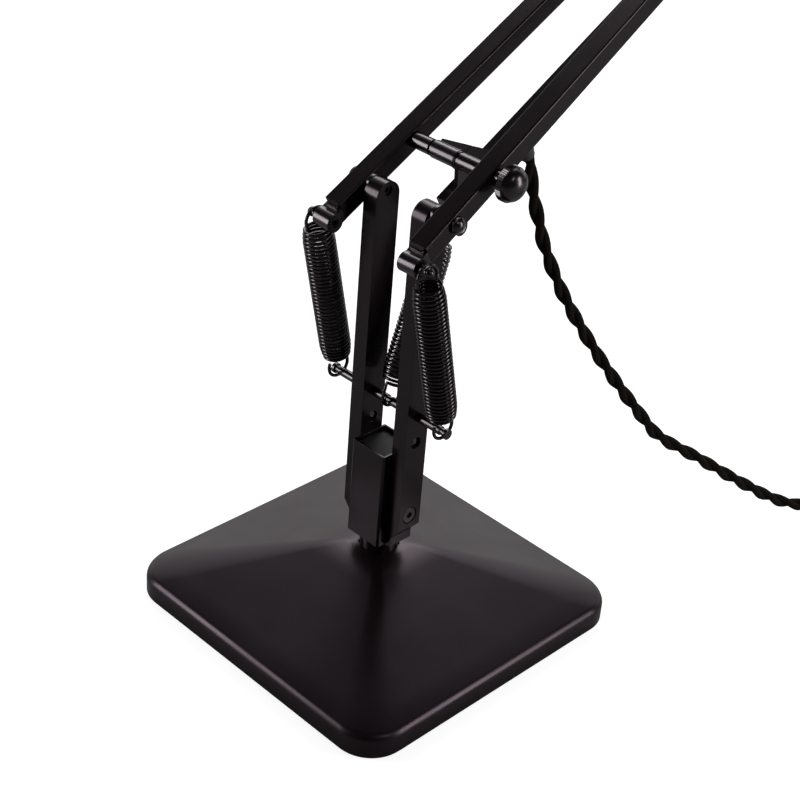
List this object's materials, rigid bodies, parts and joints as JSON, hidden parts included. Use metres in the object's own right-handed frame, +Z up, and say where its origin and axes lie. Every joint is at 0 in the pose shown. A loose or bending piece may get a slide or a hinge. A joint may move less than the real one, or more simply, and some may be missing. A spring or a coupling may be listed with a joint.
{
  "type": "architect desk lamp",
  "caption": "Spring-balanced desk lamp: square weighted foot, swivelling stem, twin lower arms, single upper arm and tilting metal shade.",
  "frame": {"origin": "centre of the foot's underside, on the surface it stands on", "axes": "+Z up, +X to the tension knob's side, -Y to the bare front of the stem cover; the lower arms lean back towards +Y"},
  "size_m": [0.3195, 0.5128, 0.5913],
  "materials": {
    "satin_black": "satin",
    "gloss_black": "gloss",
    "spring_black": "satin",
    "bright_steel": "brushed",
    "iron": "rough",
    "felt": "matte",
    "ceramic": "gloss",
    "moulding": "matte",
    "bulb_glass": "frosted",
    "cord_cloth": "woven"
  },
  "bodies": {
    "foot": {"base_shell": "satin_black", "base_weight": "iron", "base_pad": "felt", "base_screws": "bright_steel", "swivel_collar": "gloss_black"},
    "stem": {"swivel_spigot": "bright_steel", "spigot_nut": "bright_steel", "stem_block": "satin_black", "stem_cover": "satin_black", "upright_left": "satin_black", "upright_right": "satin_black", "stem_bolts": "gloss_black", "stem_screws": "gloss_black", "spring_rod": "gloss_black", "pivot_bolts": "gloss_black", "pivot_washers": "gloss_black", "cord": "cord_cloth", "cord_coil": "cord_cloth", "cord_tail": "cord_cloth", "plug": "moulding", "plug_pins": "bright_steel"},
    "lower_arm": {"arm_bar_left": "satin_black", "arm_bar_right": "satin_black", "tail_end_left": "gloss_black", "tail_end_right": "gloss_black", "tail_pins": "gloss_black", "elbow_plugs": "gloss_black", "elbow_bolt": "gloss_black", "elbow_spacers": "gloss_black", "cord_gland": "moulding"},
    "crank": {"crossbar_shaft": "gloss_black", "crossbar_spacers": "gloss_black", "crank_hub": "gloss_black", "grub_screw": "gloss_black", "balance_crank": "gloss_black", "crank_pins": "bright_steel"},
    "knob": {"tension_knob": "gloss_black"},
    "link": {"link_bar": "satin_black"},
    "upper_arm": {"upper_arm_tube": "satin_black", "elbow_lug": "gloss_black", "lug_pin": "bright_steel", "arm_end_fork": "gloss_black", "shade_pivot_bolt": "bright_steel"},
    "shade_head": {"shade_holder": "satin_black", "shade": "satin_black", "shade_ring": "ceramic", "lampholder": "moulding", "bulb": "bulb_glass"},
    "button": {"switch_button": "moulding"},
    "outer_spring_heads": {"outer_upper_hooks": "spring_black", "spring_left": "spring_black", "spring_right": "spring_black"},
    "outer_spring_feet": {"outer_lower_hooks": "spring_black"},
    "middle_spring_foot": {"middle_lower_hook": "spring_black"},
    "middle_spring_coil": {"spring_middle": "spring_black"},
    "middle_spring_head": {"middle_upper_hook": "spring_black"}
  },
  "joints": [
    {"name": "base_swivel", "type": "hinge", "parent": "foot", "child": "stem", "pos_m": [0, 0, 0.047], "axis": [0, 0, 1], "range_deg": [-170, 170]},
    {"name": "arm_tilt", "type": "hinge", "parent": "stem", "child": "lower_arm", "pos_m": [0, 0, 0.231], "axis": [1, 0, 0], "range_deg": [-12, 28], "deforming": ["cord"]},
    {"name": "elbow", "type": "hinge", "parent": "lower_arm", "child": "upper_arm", "pos_m": [0, 0.25769, 0.38461], "axis": [1, 0, 0], "range_deg": [-12, 22]},
    {"name": "crank_turn", "type": "hinge", "parent": "lower_arm", "child": "crank", "pos_m": [0, 0.02577, 0.24636], "axis": [1, 0, 0], "range_deg": [-12, 22]},
    {"name": "knob_turn", "type": "hinge", "parent": "crank", "child": "knob", "pos_m": [0.036, 0.02577, 0.24636], "axis": [1, 0, 0], "continuous": true},
    {"name": "link_swing", "type": "hinge", "parent": "crank", "child": "link", "pos_m": [0.0047, 0.03724, 0.23521], "axis": [1, 0, 0], "range_deg": [-22, 12]},
    {"name": "shade_tilt", "type": "hinge", "parent": "upper_arm", "child": "shade_head", "pos_m": [0, 0.00327, 0.54359], "axis": [1, 0, 0], "range_deg": [-40, 45]},
    {"name": "switch_press", "type": "slide", "parent": "shade_head", "child": "button", "axis": [0, -0.4067, -0.9135], "range_m": [0, 0.002], "stiffness_N_per_m": 900, "springref_m": -0.001},
    {"name": "outer_spring_swing", "type": "hinge", "parent": "lower_arm", "child": "outer_spring_heads", "pos_m": [0, -0.02151, 0.21631], "axis": [1, 0, 0], "range_deg": [-32.3, 13.9]},
    {"name": "outer_spring_stretch", "type": "slide", "parent": "outer_spring_heads", "child": "outer_spring_feet", "axis": [0, 0.227, -0.9739], "range_m": [-0.0108, 0.0047], "deforming": ["spring_left", "spring_right", "outer_lower_hooks"]},
    {"name": "middle_spring_swing", "type": "hinge", "parent": "stem", "child": "middle_spring_foot", "pos_m": [0, 0, 0.124], "axis": [1, 0, 0], "range_deg": [-5.8, 3.2]},
    {"name": "middle_spring_stretch", "type": "slide", "parent": "middle_spring_foot", "child": "middle_spring_coil", "axis": [0, 0.3021, 0.9533], "range_m": [-0.0076, 0.0174], "deforming": ["spring_middle"]},
    {"name": "middle_spring_reach", "type": "slide", "parent": "middle_spring_coil", "child": "middle_spring_head", "axis": [0, 0.3021, 0.9533], "range_m": [-0.0043, 0.0077], "deforming": ["middle_upper_hook"]}
  ],
  "couplings": [
    {"joint": "crank_turn", "follows": "elbow", "ratio": 1},
    {"joint": "link_swing", "follows": "elbow", "ratio": -1},
    {"joint": "outer_spring_swing", "follows": "arm_tilt", "ratio": -1.1492},
    {"joint": "outer_spring_stretch", "follows": "arm_tilt", "m_per_rad": -0.02176},
    {"joint": "middle_spring_swing", "follows": "elbow", "ratio": -0.2558},
    {"joint": "middle_spring_stretch", "follows": "arm_tilt", "m_per_rad": 0.0354},
    {"joint": "middle_spring_reach", "follows": "elbow", "m_per_rad": 0.0196}
  ]
}
